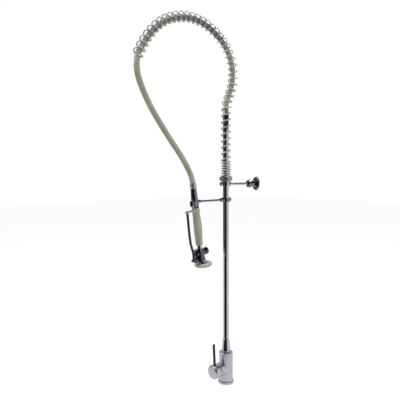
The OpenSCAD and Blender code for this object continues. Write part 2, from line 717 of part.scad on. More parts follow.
// Hose
module hose_nipple() {
    plug = 18;
    color("silver") difference() {
        union() {
            translate([0, 0, riser_top]) cylinder(r = riser_r, h = hose_start - riser_top);
            translate([0, 0, riser_top - plug]) cylinder(r = riser_bore_r - seat, h = plug + overshoot);
        }
        translate([0, 0, riser_top - plug - overshoot])
            cylinder(r = water_r, h = plug + hose_start - riser_top + 2 * overshoot);
    }
}
module riser_sleeve() {
    top = hose_start + sleeve_len;
    color("silver") lathe([[hose_r + seat, hose_start], [riser_r, hose_start], [riser_r, top],
        [hose_r + seat + sleeve_flare, top], [hose_r + seat, top - sleeve_mouth]]);
}
module hose_in_spring() { color("darkkhaki") hose_tube(0, hose_split); }
module hose_free() { color("darkkhaki") hose_tube(hose_split, hose_len); }
module gun_sleeve() {
    top = hose_end_z + sleeve_len;
    color("silver") at_gun()
        lathe([[hose_r + seat, hose_end_z], [sleeve_r + 0.4, hose_end_z], [sleeve_r + 0.4, hose_end_z + 2],
            [sleeve_r, hose_end_z + 2.6], [sleeve_r, top - 3], [sleeve_r - 0.4, top],
            [hose_r + seat + sleeve_flare, top], [hose_r + seat, top - sleeve_mouth]]);
}

// Wall stay
module clamp_band(bore_r, boss_r, boss_end, rod_r, rod_start) {
    difference() {
        union() {
            rotate([90, 0, 0]) translate([0, 0, -band_h / 2]) rounded_bar(band_r, 0, band_h, 0.8);
            lathe([[0, 0], [boss_r, 0], [boss_r, band_r + 1], [rod_r + 1.5, boss_end], [0, boss_end]]);
            translate([0, 0, -band_r - 1]) cylinder(r = 4.5, h = band_r);
        }
        rotate([90, 0, 0]) cylinder(r = bore_r, h = band_h * 3, center = true);
        translate([0, 0, rod_start]) cylinder(r = rod_r + running, h = boss_end);
        translate([0, 0, -band_r - 2]) cylinder(r = screw_r + seat, h = band_r, $fn = small_fn);
    }
}
module stay_liner() {
    color("dimgray") pipe(liner_r, riser_r + running, stay_z - band_h / 2, stay_z + band_h / 2);
}
module stay_clamp() {
    color("silver") at_stay()
        clamp_band(liner_r + running, 6, band_r + boss_len, stay_rod_r, stay_rod_start - 0.2);
}
module stay_clamp_screw() {
    color("silver") at_stay() rotate([180, 0, 0]) translate([0, 0, band_r + 1 + seat])
        thumb_screw(band_r + 1 - liner_r);
}
module stay_rod() {
    color("silver") at_stay() translate([0, 0, stay_rod_start])
        cylinder(r = stay_rod_r, h = wall_reach - 2 - stay_rod_start);
}
module stay_nut() {
    z0 = flange_face - hub_len - stay_nut_len;
    hole = stay_rod_r + running;
    color("silver") at_stay() lathe([[hole, z0], [stay_nut_d / 2 - 3, z0], [stay_nut_d / 2 - 1, z0 + 2],
        [stay_nut_d / 2, z0 + stay_nut_len - 2], [stay_nut_d / 2 - 1, z0 + stay_nut_len],
        [hole, z0 + stay_nut_len]]);
}
module wall_flange() {
    color("silver") at_stay() difference() {
        lathe([[0, flange_face - hub_len], [hub_r, flange_face - hub_len], [hub_r, flange_face - 2],
            [hub_r + 2, flange_face], [flange_d / 2 - 3, flange_face + 1.5],
            [flange_d / 2, flange_face + 3.5], [flange_d / 2, wall_reach], [0, wall_reach]]);
        translate([0, 0, flange_face - hub_len - overshoot])
            cylinder(r = stay_rod_r + running, h = hub_len + flange_t + 2 * overshoot);
        for (a = [90, 210, 330])
            rotate([0, 0, a]) translate([flange_pcd / 2, 0, flange_face]) {
                translate([0, 0, -overshoot])
                    cylinder(r = flange_hole_r, h = flange_t + 2 * overshoot, $fn = small_fn);
                translate([0, 0, -overshoot])
                    cylinder(r1 = flange_hole_r + 3.5, r2 = flange_hole_r, h = 4, $fn = small_fn);
            }
    }
}

// Hook arm
module hook_clamp() {
    color("silver") at_hook()
        clamp_band(riser_r + seat, 7, band_r + hook_boss_len, hook_rod_r, band_r + 1);
}
module hook_clamp_screw() {
    color("silver") at_hook() rotate([180, 0, 0]) translate([0, 0, band_r + 1 + seat])
        thumb_screw(band_r + 1 - riser_r);
}
hook_rod_end = -gun_y - fork_r - 0.2;
module hook_arm() {
    color("silver") at_hook() translate([0, 0, band_r + 1.2])
        cylinder(r = hook_rod_r, h = hook_rod_end - band_r - 1.2);
}
module hook_fork() {
    chamfer = fork_wall / 3;
    color("silver") difference() {
        union() {
            at_gun() translate([0, 0, fork_bottom]) {
                rounded_bar(fork_r, 0, fork_h, 1);
                linear_extrude(fork_h)
                    polygon([[-fork_r, 0], [-fork_r, chamfer - prong_len], [chamfer - fork_r, -prong_len],
                        [fork_r - chamfer, -prong_len], [fork_r, chamfer - prong_len], [fork_r, 0]]);
            }
            at_hook() translate([0, 0, hook_rod_end - 8]) cylinder(r = hook_rod_r + 1.8, h = 14);
        }
        at_gun() {
            translate([0, 0, fork_bottom - overshoot])
                cylinder(r = fork_slot_r, h = fork_h + 2 * overshoot);
            translate([-fork_slot_r, -2 * prong_len, fork_bottom - overshoot])
                cube([2 * fork_slot_r, 2 * prong_len, fork_h + 2 * overshoot]);
            translate([0, 0, fork_top]) cylinder(r = fork_r + 4, h = 10);
        }
        at_hook() translate([0, 0, hook_rod_end - 9]) cylinder(r = hook_rod_r + seat, h = 9 + seat);
    }
}

// Gun: hose end
module swivel_nut() {
    color("silver") at_gun() difference() {
        lathe([[0, shoulder_z], [swivel_d / 2 - 0.8, shoulder_z], [swivel_d / 2, shoulder_z + 1],
            [swivel_d / 2, shoulder_z + 6], [swivel_top_r, hose_end_z - 1.5],
            [swivel_top_r - 1, hose_end_z], [0, hose_end_z]]);
        translate([0, 0, shoulder_z - overshoot])
            cylinder(r = neck_r + running, h = swivel_seat_len + 3 + overshoot);
        translate([0, 0, shoulder_z]) cylinder(r = water_r, h = swivel_len + overshoot);
    }
}
module swivel_washer() {
    color("black") at_gun() pipe(neck_r - seat, water_r, shoulder_z + swivel_seat_len + 0.2,
        shoulder_z + swivel_seat_len + 2.8);
}

// Gun: neck, grip and bail
module gun_neck() {
    color("silver") at_gun() difference() {
        lathe([[0, grip_top], [grip_w / 2 - 1.4, grip_top], [grip_w / 2 - 0.6, grip_top + 1],
            [grip_w / 2 - 1.2, grip_top + 2.6], [neck_r, grip_top + 3.4],
            [neck_r, shoulder_z + swivel_seat_len], [0, shoulder_z + swivel_seat_len]]);
        translate([0, 0, grip_top - overshoot])
            cylinder(r = water_r, h = shoulder_z + swivel_seat_len - grip_top + 2 * overshoot);
    }
}
module grip_tube() {
    color("silver") at_gun() pipe(grip_tube_r, water_r, valve_top, grip_top);
}
// Half-width, front and back of the grip at a height from 0 (bottom) to 1 (top)
function grip_half(t) = grip_w / 2 * (0.87 + 0.13 * sin(180 * min(1, t * 1.15)) + 0.08 * pow(t, 6));
function grip_back(t) = grip_half(t) + palm_swell * pow(sin(180 * min(1, max(0, t * 0.95))), 2);
grip_rings = 16;
grip_sides = 28;
function grip_ring(t) =
    let (edge = 1.6 * (max(0, 1 - t * grip_len / 2) + max(0, 1 - (1 - t) * grip_len / 2)))
    [for (k = [0 : grip_sides - 1])
        let (a = 360 * k / grip_sides,
            depth = sin(a) > 0 ? grip_back(t) : grip_half(t))
        [(grip_half(t) - edge) * cos(a), (depth - edge) * sin(a), grip_bottom + t * grip_len]];
module handle_grip() {
    heights = concat([0, 0.012], [for (i = [1 : grip_rings - 1]) i / grip_rings], [0.988, 1]);
    points = [for (t = heights) grip_ring(t)];
    color("darkkhaki") at_gun() difference() {
        polyhedron([for (r = points) for (p = r) p], tube_faces(len(heights), grip_sides), convexity = 4);
        translate([0, 0, grip_bottom - overshoot])
            cylinder(r = grip_tube_r + seat, h = grip_len + 2 * overshoot);
    }
}
module bail_ring() {
    heights = [for (z = [-0.5, 0, 0.5]) (bail_z + z * bail_ring_h - grip_bottom) / grip_len];
    r_in = max([for (t = heights) grip_back(t)]) + seat;
    color("darkkhaki") at_gun() translate([0, 0, bail_z - bail_ring_h / 2]) difference() {
        union() {
            cylinder(r = r_in + bail_ring_t, h = bail_ring_h);
            for (x = [-lug_x - lug_t, lug_x]) {
                translate([x, bail_y, 0]) cube([lug_t, -bail_y - 6, bail_ring_h]);
                translate([x, bail_y, bail_ring_h / 2]) rotate([0, 90, 0])
                    cylinder(r = bail_eye_r, h = lug_t, $fn = small_fn);
            }
        }
        translate([0, 0, -overshoot]) cylinder(r = r_in, h = bail_ring_h + 2 * overshoot);
        translate([-grip_w, bail_y, bail_ring_h / 2]) rotate([0, 90, 0])
            cylinder(r = bail_wire_r + running, h = 2 * grip_w, $fn = small_fn);
    }
}
module bail() {
    color("silver") at_gun() translate([0, bail_y, bail_z]) {
        for (side = [-1, 1]) {
            translate([side * bail_half_w, 0, 0]) rotate([90, 0, 0])
                cylinder(r = bail_wire_r, h = bail_reach, $fn = small_fn);
            translate([side * bail_half_w, 0, 0]) sphere(r = bail_wire_r, $fn = small_fn);
            translate([side * bail_half_w, -bail_reach, 0]) sphere(r = bail_wire_r, $fn = small_fn);
            translate([side < 0 ? -lug_x - lug_t : bail_half_w, 0, 0]) rotate([0, 90, 0])
                cylinder(r = bail_wire_r, h = lug_x + lug_t - bail_half_w, $fn = small_fn);
        }
        translate([-bail_half_w, -bail_reach, 0]) rotate([0, 90, 0])
            cylinder(r = bail_wire_r, h = 2 * bail_half_w, $fn = small_fn);
    }
}

// Gun: valve
module valve_body() {
    ear_x = trigger_eye_w / 2 + gap;
    color("silver") at_gun() difference() {
        union() {
            translate([0, valve_y, 0]) rounded_bar(valve_r, valve_bottom, valve_top, 2);
            translate([0, 0, barrel_z]) rotate([-90, 0, 0])
                rounded_bar(barrel_r, barrel_front, barrel_back, 1);
            for (side = [-1, 1])
                translate([side > 0 ? ear_x : -ear_x - ear_t, 0, 0]) {
                    translate([0, pivot_y, pivot_z]) rotate([0, 90, 0])
                        cylinder(r = ear_r, h = ear_t, $fn = small_fn);
                    translate([0, pivot_y, pivot_z - ear_r])
                        cube([ear_t, valve_y - pivot_y, 2 * ear_r]);
                }
        }
        translate([-ear_x, pivot_y - 8, valve_bottom - 2])
            cube([2 * ear_x, 14.5, barrel_z - barrel_r - valve_bottom + 3]);
        translate([0, 0, barrel_z]) rotate([-90, 0, 0]) {
            translate([0, 0, barrel_front - overshoot])
                cylinder(r = plunger_r + running, h = barrel_back - barrel_front, $fn = small_fn);
            translate([0, 0, gallery_front])
                cylinder(r = gallery_r, h = chamber_front - gallery_front + overshoot, $fn = small_fn);
            translate([0, 0, chamber_front]) cylinder(r = chamber_r, h = barrel_back + 10);
        }
        translate([0, 0, barrel_z]) cylinder(r = water_r, h = barrel_r + overshoot, $fn = small_fn);
        translate([0, 0, valve_top - 3]) cylinder(r = grip_tube_r - 1, h = 5, $fn = small_fn);
        translate([0, spray_y, valve_bottom - overshoot])
            cylinder(r = spray_neck_r + seat, h = barrel_z - barrel_r - valve_bottom + overshoot);
        translate([0, outlet_y, spray_top + 2])
            cylinder(r = 2, h = barrel_z - spray_top - 2, $fn = small_fn);
        translate([0, outlet_y, spray_top + 3.5]) rotate([-90, 0, 0])
            cylinder(r = 2, h = spray_y - outlet_y, $fn = small_fn);
        translate([0, pivot_y, pivot_z]) rotate([0, 90, 0])
            cylinder(r = trigger_pin_r + 0.02, h = valve_d, center = true, $fn = small_fn);
    }
}
module valve_plunger() {
    front = pivot_y + trigger_r + gap;
    color("lightgray") at_barrel() {
        translate([0, 0, front]) cylinder(r = plunger_r, h = seat_y - plunger_head_t - front, $fn = small_fn);
        translate([0, 0, seat_y - plunger_head_t]) cylinder(r = plunger_head_r, h = plunger_head_t);
    }
}
module valve_seal() {
    color("black") at_barrel()
        pipe(plunger_head_r, plunger_r + seat, seat_y - plunger_head_t - seal_len, seat_y - plunger_head_t);
}
module valve_spring() {
    turns_n = 4;
    steps = 8;
    r = 4.6;
    wire = 0.6;
    z0 = seat_y + wire;
    z1 = barrel_back - back_cap_seat + 0.2 - wire;
    count = turns_n * steps;
    points = [for (i = [0 : count])
        let (a = 360 * i / steps, c = [r * cos(a), r * sin(a), z0 + (z1 - z0) * i / count],
            u = [cos(a), sin(a), 0], along = unit([-sin(a), cos(a), (z1 - z0) / (2 * PI * r * turns_n)]))
        ring(c, u, cross(along, u), wire, wire_sides)];
    color("lightgray") at_barrel()
        polyhedron([for (p = points) for (q = p) q], tube_faces(len(points), wire_sides), convexity = 8);
}
module back_cap() {
    color("silver") at_barrel() difference() {
        union() {
            translate([0, 0, barrel_back]) rounded_bar(back_cap_r, 0, back_cap_len, 2);
            translate([0, 0, barrel_back - back_cap_seat])
                cylinder(r = chamber_r - seat, h = back_cap_seat + overshoot);
        }
        translate([0, 0, barrel_back - back_cap_seat - overshoot])
            cylinder(r = chamber_r - 2.5, h = overshoot + 0.2);
        translate([0, 0, barrel_back + back_cap_len - 1.5])
            cylinder(r = back_cap_r - 5, h = 1.5 + overshoot);
    }
}

// Gun: trigger
module trigger_bar(a, b) {
    v = b - a;
    translate(a) rotate([0, acos(v[2] / norm(v)), atan2(v[1], v[0])]) cylinder(r = trigger_r, h = norm(v));
}
module trigger() {
    route = [[0, pivot_y, pivot_z], [0, pivot_y, barrel_z + 6], [0, -trigger_out, barrel_z + elbow_rise],
        [0, -trigger_out - 1, (barrel_z + trigger_tip_z) / 2],
        [0, -trigger_out, trigger_tip_z - knob_flat - seat]];
    color("silver") at_gun() difference() {
        union() {
            for (i = [0 : len(route) - 2]) trigger_bar(route[i], route[i + 1]);
            for (i = [1 : len(route) - 2]) translate(route[i]) sphere(r = trigger_r + 0.04);
            translate([0, pivot_y, pivot_z]) rotate([0, 90, 0])
                cylinder(r = trigger_eye_r, h = trigger_eye_w, center = true, $fn = small_fn);
        }
        translate([0, pivot_y, pivot_z]) rotate([0, 90, 0])
            cylinder(r = trigger_pin_r + running, h = 2 * trigger_eye_w, center = true, $fn = small_fn);
    }
}
module trigger_knob() {
    color("silver") at_gun() translate([0, -trigger_out, trigger_tip_z]) difference() {
        sphere(r = knob_r);
        translate([0, 0, -knob_flat - knob_r]) cylinder(r = knob_r, h = knob_r);
    }
}
module trigger_pin() {
    half = trigger_eye_w / 2 + gap + ear_t;
    color("lightgray") at_gun() translate([-half, pivot_y, pivot_z]) rotate([0, 90, 0])
        cylinder(r = trigger_pin_r, h = 2 * half, $fn = small_fn);
}

// Gun: spray head
module spray_neck() {
    top = spray_top;
    color("silver") at_gun() translate([0, spray_y, 0]) difference() {
        union() {
            translate([0, 0, spray_bottom - bumper_lip])
                cylinder(r = spray_neck_r, h = top - spray_bottom + bumper_lip);
            translate([0, 0, spray_bottom - bumper_lip - 2]) cylinder(r = spray_cup_r - 2, h = 2);
        }
        translate([0, 0, spray_bottom - bumper_lip - 2 - overshoot])
            cylinder(r = water_r, h = top - spray_bottom + bumper_lip + 2 + 2 * overshoot);
    }
}
module bumper_ring() {
    round_r = bumper_t / 2;
    color("darkkhaki") at_gun() translate([0, spray_y, 0]) lathe(concat(
        [[bumper_hole_r, spray_bottom - bumper_lip], [bumper_hole_r, spray_bottom]],
        [for (a = [75 : -15 : -75]) [bumper_r - round_r + round_r * cos(a),
            bumper_bottom + round_r + round_r * sin(a)]],
        [[spray_cup_r + seat, bumper_bottom], [spray_cup_r + seat, spray_bottom - bumper_lip]]));
}
module spray_plate() {
    top = spray_bottom - bumper_lip - 2 - 0.2;
    color("silver") at_gun() translate([0, spray_y, top - spray_plate_t]) difference() {
        cylinder(r = spray_cup_r - 0.2, h = spray_plate_t);
        translate([0, 0, -overshoot])
            cylinder(r = 1.6, h = spray_plate_t + 2 * overshoot, $fn = small_fn);
        for (row = [[8, 8], [14, 14]], k = [0 : row[1] - 1])
            rotate([0, 0, 360 * k / row[1]]) translate([row[0], 0, -overshoot])
                cylinder(r = jet_r, h = spray_plate_t + 2 * overshoot, $fn = 16);
    }
}
module spray_screw() {
    top = spray_bottom - bumper_lip - 2 - 0.2;
    color("silver") at_gun() translate([0, spray_y, top - spray_plate_t]) {
        translate([0, 0, -1.6]) cylinder(r = 3, h = 1.6, $fn = small_fn);
        cylinder(r = 1.5, h = spray_plate_t, $fn = small_fn);
    }
}

foot_ring();
foot_gasket();
mixer_body();
cartridge_shell();
cartridge_seals();
fixed_disc();
moving_disc();
mix_collar();
stem();
stem_pin();
cartridge_nut();
housing_screw();
lever_cap();
pin_lever();
cap_screw();
union_nut();
union_seal();
riser_pipe();
spring_collar();
collar_screw();
spring();
hose_nipple();
riser_sleeve();
hose_in_spring();
hose_free();
gun_sleeve();
stay_liner();
stay_clamp();
stay_clamp_screw();
stay_rod();
stay_nut();
wall_flange();
hook_clamp();
hook_clamp_screw();
hook_arm();
hook_fork();
swivel_nut();
swivel_washer();
gun_neck();
grip_tube();
handle_grip();
bail_ring();
bail();
valve_body();
valve_plunger();
valve_seal();
valve_spring();
back_cap();
trigger();
trigger_pin();
trigger_knob();
spray_neck();
spray_plate();
bumper_ring();
spray_screw();
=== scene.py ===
# Deck-mounted pre-rinse faucet: single-lever mixer, tall riser, coiled support spring with a hose
# inside it, wall stay, hook arm and a trigger spray gun hung in the hook. Metres, +Z up, the origin
# at the centre of the mixer's foot. The sections follow the faucet as it is put together.
import math
from bisect import bisect

import bpy
from mathutils import Euler, Matrix, Vector


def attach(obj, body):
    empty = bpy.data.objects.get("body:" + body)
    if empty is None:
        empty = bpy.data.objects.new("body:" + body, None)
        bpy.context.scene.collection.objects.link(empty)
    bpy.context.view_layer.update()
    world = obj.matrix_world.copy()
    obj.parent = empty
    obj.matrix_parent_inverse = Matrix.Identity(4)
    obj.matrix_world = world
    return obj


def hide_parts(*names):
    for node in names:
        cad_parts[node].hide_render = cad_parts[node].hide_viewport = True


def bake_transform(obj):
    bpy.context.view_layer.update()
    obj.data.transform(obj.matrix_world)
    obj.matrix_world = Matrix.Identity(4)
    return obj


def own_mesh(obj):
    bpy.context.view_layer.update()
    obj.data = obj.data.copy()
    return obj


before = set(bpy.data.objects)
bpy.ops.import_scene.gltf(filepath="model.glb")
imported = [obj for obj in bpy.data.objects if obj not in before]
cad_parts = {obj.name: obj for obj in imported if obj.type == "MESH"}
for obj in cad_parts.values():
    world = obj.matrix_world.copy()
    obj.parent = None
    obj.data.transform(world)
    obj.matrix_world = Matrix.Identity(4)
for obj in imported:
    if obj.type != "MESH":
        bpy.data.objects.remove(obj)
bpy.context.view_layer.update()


# ---------------------------------------------------------------------------------------- Camera
# A camera on the user's side, right of the mixer, a little above half of the faucet's height. It
# stands close, so the mixer is seen from above and the arch from below.
CAMERA_PLACE = Vector((1.0161, -1.0241, 0.6792))
CAMERA_TURN = (86.3, 0.2495, 47.984)
CAMERA_LENS_MM = 41.4
CAMERA_SENSOR_MM = 36.0


def into_scene(name, data):
    """A new object with this data, put in the scene."""
    made = bpy.data.objects.new(name, data)
    bpy.context.scene.collection.objects.link(made)
    return made


camera = into_scene("camera", bpy.data.cameras.new("camera"))
camera.location = CAMERA_PLACE
camera.rotation_euler = Euler([math.radians(a) for a in CAMERA_TURN])
camera.data.lens = CAMERA_LENS_MM
camera.data.sensor_width = CAMERA_SENSOR_MM
bpy.context.scene.camera = camera


# ------------------------------------------------------------------------------------------ Hose
# One flexible hose, 16 mm thick: a vinyl cover extruded over a textile braid. It is crimped on the
# riser's nipple, runs inside the spring and over the arch, and hangs free from there to the gun.
HOSE_RADIUS = 0.008
HOSE_SIDES = 32
HOSE_STEP = 0.006
HOSE_COVER = "#9FA18C"
HOSE_SHADE = "#8A8D79"
# Painted shade: a darker pair of tones for the hose inside the coil, standing in for the coil's shadow and
# the shade under the arch
COIL_SHADOW_COVER = "#6E6F65"
COIL_SHADOW_SHADE = "#585A50"
BRAID_PITCH = 0.005
BRAID_THREADS = 10
# The coil ends this far before the held length of hose does
COIL_MARGIN = 0.02
# How strong the painted shade of the coil and the arch is on the hose, at shares of the way from the riser to
# the coil's end
COIL_SHADOW_AMOUNT = [(0, 0.1), (0.3, 0.25), (0.42, 1.0), (0.85, 0.8), (1, 0.0)]
SLEEVE_LENGTH = 0.015
RISER_TOP = 0.853

# The gun hangs in the hook with its top leaning towards the user; its own frame has +Z up the gun
GUN_ORIGIN = Vector((0, -0.129, 0.580))
GUN_LEAN = math.radians(7.5)
GUN_FRAME = Matrix.Translation(GUN_ORIGIN) @ Matrix.Rotation(GUN_LEAN, 4, "X")
HOSE_END = 0.0468

ARCH = [(0.0302, 0.951), (0.033, 0.978), (0.0285, 1.008), (0.014, 1.040), (-0.006, 1.064),
    (-0.032, 1.084), (-0.064, 1.101), (-0.098, 1.112), (-0.135, 1.116), (-0.172, 1.112),
    (-0.210, 1.101), (-0.245, 1.083), (-0.272, 1.060), (-0.293, 1.036), (-0.311, 1.009),
    (-0.3246, 0.9845), (-0.3296, 0.956)]
HANG = [(-0.3254, 0.927), (-0.314, 0.899), (-0.299, 0.871), (-0.281, 0.843), (-0.260, 0.815),
    (-0.238, 0.787), (-0.2132, 0.757), (-0.1888, 0.729), (-0.1666, 0.700), (-0.1487, 0.672),
    (-0.142, 0.657)]
GUN_END = [tuple((GUN_FRAME @ Vector((0, 0, HOSE_END + rise * SLEEVE_LENGTH))).yz)
    for rise in (1, 0.5, 0)]
HOSE_LEAD = [(0, RISER_TOP), (0, RISER_TOP + SLEEVE_LENGTH / 2), (0, RISER_TOP + SLEEVE_LENGTH),
    (0.0013, 0.879), (0.0058, 0.894), (0.0128, 0.910), (0.0213, 0.928)]
HOSE_ROUTE = [*HOSE_LEAD, *ARCH, *HANG, *GUN_END]
# The route's point at which the hose leaves the coil and hangs free
HOSE_SPLIT = len(HOSE_LEAD) + len(ARCH) - 1
# How far the coil holds the hose against the inner side of the arch
HOSE_OFFSET = 0.0026
CURVE_STEPS = 6
# Half of the length over which a line's direction is taken
DIRECTION_REACH = 0.0005


def smooth_route(route):
    """Points on a smooth curve through a route of (y, z) pairs in the plane x = 0."""
    p = [Vector((0, y, z)) for y, z in route]
    line = []
    for i in range(len(p) - 1):
        a, b, c, d = p[max(i - 1, 0)], p[i], p[i + 1], p[min(i + 2, len(p) - 1)]
        for k in range(CURVE_STEPS):
            t = k / CURVE_STEPS
            line.append((2 * b + (c - a) * t + (2 * a - 5 * b + 4 * c - d) * t ** 2
                + (3 * b - a - 3 * c + d) * t ** 3) / 2)
    return line + [p[-1]]


def lengths_along(line):
    """The length of a line of points up to each of its points."""
    lengths = [0.0]
    for a, b in zip(line, line[1:]):
        lengths.append(lengths[-1] + (b - a).length)
    return lengths


def point_at(line, lengths, s):
    """The point at length s along a line of points."""
    i = min(max(bisect(lengths, s) - 1, 0), len(line) - 2)
    share = (s - lengths[i]) / (lengths[i + 1] - lengths[i])
    return line[i].lerp(line[i + 1], min(max(share, 0), 1))


def direction_at(line, lengths, s):
    """The direction of a line of points at length s."""
    ahead = point_at(line, lengths, min(s + DIRECTION_REACH, lengths[-1]))
    behind = point_at(line, lengths, max(s - DIRECTION_REACH, 0))
    return (ahead - behind).normalized()


def between(value, table):
    """A value read from a table of (at, value) pairs, straight between them."""
    for (a, u), (b, v) in zip(table, table[1:]):
        if value <= b:
            return u + (v - u) * max(value - a, 0) / (b - a)
    return table[-1][1]


def linear(colour):
    """An sRGB hex colour as the linear values that shaders take."""
    parts = [int(colour[i:i + 2], 16) / 255 for i in (1, 3, 5)]
    return [c / 12.92 if c <= 0.04045 else ((c + 0.055) / 1.055) ** 2.4 for c in parts] + [1.0]


def add_node(tree, kind, values=(), links=(), **settings):
    """Adds a node: settings are its own, values go on its inputs, links bring other nodes' outputs."""
    made = tree.nodes.new(kind)
    for name, value in settings.items():
        setattr(made, name, value)
    for name, value in dict(values).items():
        made.inputs[name].default_value = value
    for name, output in dict(links).items():
        tree.links.new(output, made.inputs[name])
    return made


def begin_material(name, metallic):
    """A new material, its node tree and its main shader."""
    material = bpy.data.materials.new(name)
    material.use_nodes = True
    shader = material.node_tree.nodes["Principled BSDF"]
    shader.inputs["Metallic"].default_value = metallic
    return material, material.node_tree, shader


def maths(tree, operation, *terms):
    """One step of arithmetic on patterns: each term is a number or another node's output."""
    made = add_node(tree, "ShaderNodeMath", operation=operation)
    for i, term in enumerate(terms):
        if isinstance(term, (int, float)):
            made.inputs[i].default_value = term
        else:
            tree.links.new(term, made.inputs[i])
    return made.outputs[0]


def attribute(tree, name):
    """A value that the mesh keeps at its points."""
    return add_node(tree, "ShaderNodeAttribute", attribute_name=name).outputs["Fac"]


def object_place(tree):
    """Where a point of the surface lies, in metres."""
    return add_node(tree, "ShaderNodeTexCoord").outputs["Object"]


def noise(tree, place, scale, detail, roughness=0.5):
    """A cloudy pattern with spots some 1 / scale across, in the units of the place."""
    made = add_node(tree, "ShaderNodeTexNoise", {"Scale": scale, "Detail": detail, "Roughness": roughness},
        {"Vector": place})
    return made.outputs["Fac"]


def lines_along(tree, number, per_metre):
    """Fine lines along a swept piece: this number of them round it, each some 1 / per_metre long."""
    place = add_node(tree, "ShaderNodeCombineXYZ", links={
        "X": maths(tree, "MULTIPLY", attribute(tree, "around"), number),
        "Y": maths(tree, "MULTIPLY", attribute(tree, "along"), per_metre)})
    return noise(tree, place.outputs[0], 1.0, 3.0)


def mapped(tree, pattern, low, high, to_low=0.0, to_high=1.0):
    """Stretches a pattern's values from low and high to two other values."""
    made = add_node(tree, "ShaderNodeMapRange",
        {"From Min": low, "From Max": high, "To Min": to_low, "To Max": to_high}, {"Value": pattern})
    return made.outputs[0]


def mix_colours(tree, pattern, first, second):
    """Mixes two colours by a pattern: each is a hex colour or another node's output."""
    mix = add_node(tree, "ShaderNodeMix", links={0: pattern}, data_type="RGBA")
    # A mix node in its colour form has its colours on inputs 6 and 7, and gives output 2
    for socket, colour in ((6, first), (7, second)):
        if isinstance(colour, str):
            mix.inputs[socket].default_value = linear(colour)
        else:
            tree.links.new(colour, mix.inputs[socket])
    return mix.outputs[2]


def dress(tree, shader, colour, roughness, height, strength, depth):
    """Gives a shader its colour, its roughness and bumps of this depth in metres."""
    bump = add_node(tree, "ShaderNodeBump", {"Strength": strength, "Distance": depth}, {"Height": height})
    tree.links.new(colour, shader.inputs["Base Color"])
    tree.links.new(roughness, shader.inputs["Roughness"])
    tree.links.new(bump.outputs[0], shader.inputs["Normal"])


def extruded_vinyl(name, coil_end=0):
    """Plasticised PVC, extruded: a soft gloss, draw lines along the hose and the braid showing
    faintly through the cover. Up to the coil's end it is darkened with painted shade, most over
    the arch, in place of the coil's shadow and the arch's shaded underside."""
    material, tree, shader = begin_material(name, 0.0)
    # Draw lines: 24 round the hose, each some 30 mm long
    draw_lines = lines_along(tree, 24, 30)
    # Braid: two sets of threads that cross at 45 degrees, a thread every 5 mm
    turns = maths(tree, "MULTIPLY", attribute(tree, "around"), 2 * math.pi * BRAID_THREADS)
    climb = maths(tree, "MULTIPLY", attribute(tree, "along"), 2 * math.pi / BRAID_PITCH)
    threads = [maths(tree, "SINE", maths(tree, crossing, turns, climb)) for crossing in ("ADD", "SUBTRACT")]
    braid = maths(tree, "MAXIMUM", *threads)
    # Handling marks, some 20 mm across
    marks = noise(tree, object_place(tree), 45, 4, 0.6)
    stained = mapped(tree, maths(tree, "MULTIPLY", draw_lines, marks), 0.12, 0.38)
    shade = maths(tree, "MULTIPLY_ADD", braid, 0.12, stained)
    colour = mix_colours(tree, shade, HOSE_COVER, HOSE_SHADE)
    # Painted shade: up to the coil's end the hose is mixed towards the darker pair, most over the arch, in
    # place of the coil's shadow and the arch's shaded underside
    if coil_end:
        coil_shadow_ramp = add_node(tree, "ShaderNodeValToRGB",
            links={0: maths(tree, "DIVIDE", attribute(tree, "along"), coil_end)})
        stops = coil_shadow_ramp.color_ramp.elements
        for place, _ in COIL_SHADOW_AMOUNT[1:-1]:
            stops.new(place)
        for stop, (_, amount) in zip(stops, COIL_SHADOW_AMOUNT):
            stop.color = (amount, amount, amount, 1)
        other_look = mix_colours(tree, shade, COIL_SHADOW_COVER, COIL_SHADOW_SHADE)
        colour = mix_colours(tree, coil_shadow_ramp.outputs["Color"], colour, other_look)
    dress(tree, shader, colour, roughness=mapped(tree, marks, 0, 1, to_low=0.28, to_high=0.46),
        height=maths(tree, "MULTIPLY_ADD", braid, 0.4, draw_lines), strength=0.25, depth=0.0003)
    return material


def sweep_tree():
    """Geometry nodes that give a line of points a round section. The mesh keeps how far along the
    line (metres) and round it (0 to 1) each point lies."""
    tree = bpy.data.node_groups.new("round_section_on_line", "GeometryNodeTree")
    tree.interface.new_socket("Line", in_out="INPUT", socket_type="NodeSocketGeometry")
    tree.interface.new_socket("Radius", in_out="INPUT", socket_type="NodeSocketFloat")
    tree.interface.new_socket("Sides", in_out="INPUT", socket_type="NodeSocketInt")
    tree.interface.new_socket("Material", in_out="INPUT", socket_type="NodeSocketMaterial")
    tree.interface.new_socket("Tube", in_out="OUTPUT", socket_type="NodeSocketGeometry")
    given = add_node(tree, "NodeGroupInput")
    line = add_node(tree, "GeometryNodeMeshToCurve", links={"Mesh": given.outputs["Line"]})
    place = add_node(tree, "GeometryNodeSplineParameter")
    line = add_node(tree, "GeometryNodeStoreNamedAttribute", {"Name": "along"},
        {"Geometry": line.outputs[0], "Value": place.outputs["Length"]}, data_type="FLOAT", domain="POINT")
    section = add_node(tree, "GeometryNodeCurvePrimitiveCircle",
        links={"Radius": given.outputs["Radius"], "Resolution": given.outputs["Sides"]})
    section = add_node(tree, "GeometryNodeStoreNamedAttribute", {"Name": "around"},
        {"Geometry": section.outputs[0], "Value": place.outputs["Factor"]}, data_type="FLOAT", domain="POINT")
    tube = add_node(tree, "GeometryNodeCurveToMesh", {"Fill Caps": True},
        {"Curve": line.outputs[0], "Profile Curve": section.outputs[0]})
    tube = add_node(tree, "GeometryNodeSetShadeSmooth", links={"Geometry": tube.outputs[0]})
    tube = add_node(tree, "GeometryNodeSetMaterial",
        links={"Geometry": tube.outputs[0], "Material": given.outputs["Material"]})
    add_node(tree, "NodeGroupOutput", links={"Tube": tube.outputs[0]})
    return tree


